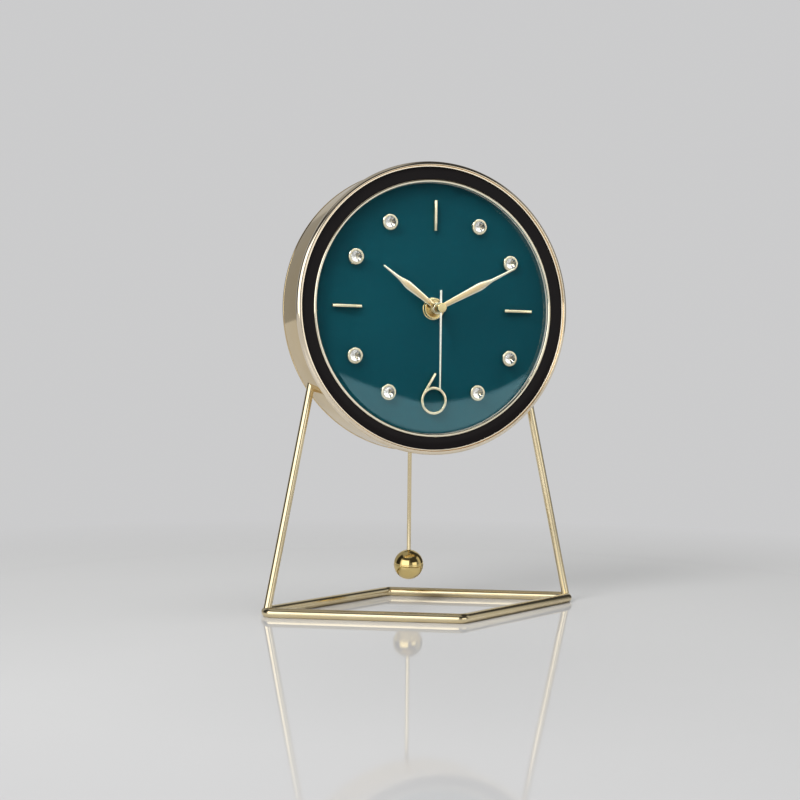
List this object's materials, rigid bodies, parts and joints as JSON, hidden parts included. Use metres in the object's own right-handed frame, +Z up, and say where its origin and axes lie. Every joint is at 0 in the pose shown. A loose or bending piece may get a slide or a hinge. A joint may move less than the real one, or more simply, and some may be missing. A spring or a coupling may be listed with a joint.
{
  "type": "desk pendulum clock",
  "caption": "Free-standing table clock: round gold case with a teal dial under domed glass, on two struts and a rhombus rod base, with a swinging ball pendulum.",
  "frame": {"origin": "on the table, under the middle of the base rhombus and of the case", "axes": "+Z up, the dial faces -Y, +X to the right of someone who looks at the dial"},
  "size_m": [0.2088, 0.1246, 0.2768],
  "materials": {
    "stand_gold": "polished champagne gold plate",
    "case_gold": "polished champagne gold plate",
    "ring_black": "glossy black lacquer",
    "glass_clear": "clear domed mineral glass",
    "gasket_clear": "soft translucent ring",
    "dial_teal": "satin deep teal paint",
    "marker_gold": "polished pale gold",
    "cup_metal": "polished pale gold",
    "stone_clear": "clear cut crystal",
    "hand_gold": "brushed pale gold",
    "second_pale": "pale gold",
    "nut_brass": "polished brass",
    "cover_black": "fine textured black",
    "screw_steel": "zinc plated",
    "housing_black": "satin black moulded plastic",
    "gear_white": "natural moulded plastic",
    "gear_brass": "machined brass",
    "magnet_grey": "sintered ferrite",
    "lamination_steel": "stamped steel",
    "coil_copper": "enamelled copper wire",
    "board_green": "solder mask",
    "chip_black": "cast resin",
    "can_steel": "drawn steel",
    "cell_wrap": "satin printed wrap, no words",
    "contact_nickel": "nickel plated spring strip",
    "rubber_black": "moulded rubber",
    "hanger_white": "natural moulded plastic",
    "pendulum_gold": "polished gold plate"
  },
  "bodies": {
    "clock": {"base_frame": "stand_gold", "strut_left": "stand_gold", "strut_right": "stand_gold", "case_band": "case_gold", "bezel_ring": "case_gold", "black_ring": "ring_black", "inner_rim": "case_gold", "glass_lens": "glass_clear", "glass_gasket": "gasket_clear", "back_cover": "cover_black", "back_cover_screws": "screw_steel", "dial_plate": "dial_teal", "bar_12": "marker_gold", "bar_3": "marker_gold", "bar_9": "marker_gold", "numeral_six": "marker_gold", "crystal_cups": "cup_metal", "crystal_stones": "stone_clear", "movement_front_shell": "housing_black", "movement_rear_shell": "housing_black", "middle_plate": "gear_white", "threaded_bush": "nut_brass", "rubber_gasket": "rubber_black", "dial_washer": "nut_brass", "dial_nut": "nut_brass", "motor_stator": "lamination_steel", "motor_coil": "coil_copper", "circuit_board": "board_green", "circuit_chip": "chip_black", "quartz_can": "can_steel", "battery_contact_plus": "contact_nickel", "battery_contact_minus": "contact_nickel", "drive_box": "housing_black", "drive_coil": "coil_copper", "suspension_pin": "screw_steel"},
    "minute": {"minute_hand": "hand_gold", "cannon_pinion": "gear_brass"},
    "hour": {"hour_hand": "hand_gold", "hour_wheel": "gear_white"},
    "second": {"second_hand": "second_pale", "second_hand_cap": "hand_gold", "seconds_wheel": "gear_white"},
    "third": {"third_wheel": "gear_white"},
    "centre": {"centre_wheel": "gear_white"},
    "intermediate": {"intermediate_wheel": "gear_white"},
    "rotor": {"rotor_pinion": "gear_white", "rotor_magnet": "magnet_grey"},
    "minute_work": {"minute_wheel": "gear_white"},
    "setting": {"setting_wheel": "gear_white", "setting_knob": "housing_black"},
    "pendulum": {"pendulum_hanger": "hanger_white", "hanger_magnet": "magnet_grey", "pendulum_rod": "pendulum_gold", "pendulum_ball": "pendulum_gold"},
    "cell": {"battery": "cell_wrap"}
  },
  "joints": [
    {"name": "minute_hand_spin", "type": "hinge", "parent": "clock", "child": "minute", "pos_m": [0, -0.015, 0.1868], "axis": [0, 1, 0], "continuous": true},
    {"name": "hour_hand_spin", "type": "hinge", "parent": "clock", "child": "hour", "pos_m": [0, -0.01, 0.1868], "axis": [0, 1, 0], "continuous": true},
    {"name": "minute_wheel_spin", "type": "hinge", "parent": "clock", "child": "minute_work", "pos_m": [0.0094, -0.004, 0.19022], "axis": [0, 1, 0], "continuous": true},
    {"name": "setting_knob_spin", "type": "hinge", "parent": "clock", "child": "setting", "pos_m": [0.01743, 0.01, 0.18064], "axis": [0, 1, 0], "continuous": true},
    {"name": "second_hand_spin", "type": "hinge", "parent": "clock", "child": "second", "pos_m": [0, -0.02, 0.1868], "axis": [0, 1, 0], "continuous": true},
    {"name": "third_wheel_spin", "type": "hinge", "parent": "clock", "child": "third", "pos_m": [-0.01198, 0.001, 0.18244], "axis": [0, 1, 0], "continuous": true},
    {"name": "centre_wheel_spin", "type": "hinge", "parent": "clock", "child": "centre", "pos_m": [0, -0.001, 0.1868], "axis": [0, 1, 0], "continuous": true},
    {"name": "intermediate_wheel_spin", "type": "hinge", "parent": "clock", "child": "intermediate", "pos_m": [0.00689, 0.006, 0.18101], "axis": [0, 1, 0], "continuous": true},
    {"name": "rotor_spin", "type": "hinge", "parent": "clock", "child": "rotor", "pos_m": [0.01109, 0.009, 0.17374], "axis": [0, 1, 0], "continuous": true},
    {"name": "pendulum_swing", "type": "hinge", "parent": "clock", "child": "pendulum", "pos_m": [0, 0.0239, 0.1758], "axis": [0, 1, 0], "range_deg": [-8, 8]},
    {"name": "battery_pull", "type": "slide", "parent": "clock", "child": "cell", "axis": [0, 1, 0], "range_m": [0, 0.03]}
  ],
  "couplings": [
    {"joint": "hour_hand_spin", "follows": "minute_hand_spin", "ratio": 0.083333},
    {"joint": "minute_wheel_spin", "follows": "minute_hand_spin", "ratio": -0.33333},
    {"joint": "setting_knob_spin", "follows": "minute_hand_spin", "ratio": 0.5},
    {"joint": "third_wheel_spin", "follows": "second_hand_spin", "ratio": -0.13333},
    {"joint": "centre_wheel_spin", "follows": "second_hand_spin", "ratio": 0.016667},
    {"joint": "intermediate_wheel_spin", "follows": "second_hand_spin", "ratio": -5},
    {"joint": "rotor_spin", "follows": "second_hand_spin", "ratio": 30}
  ]
}
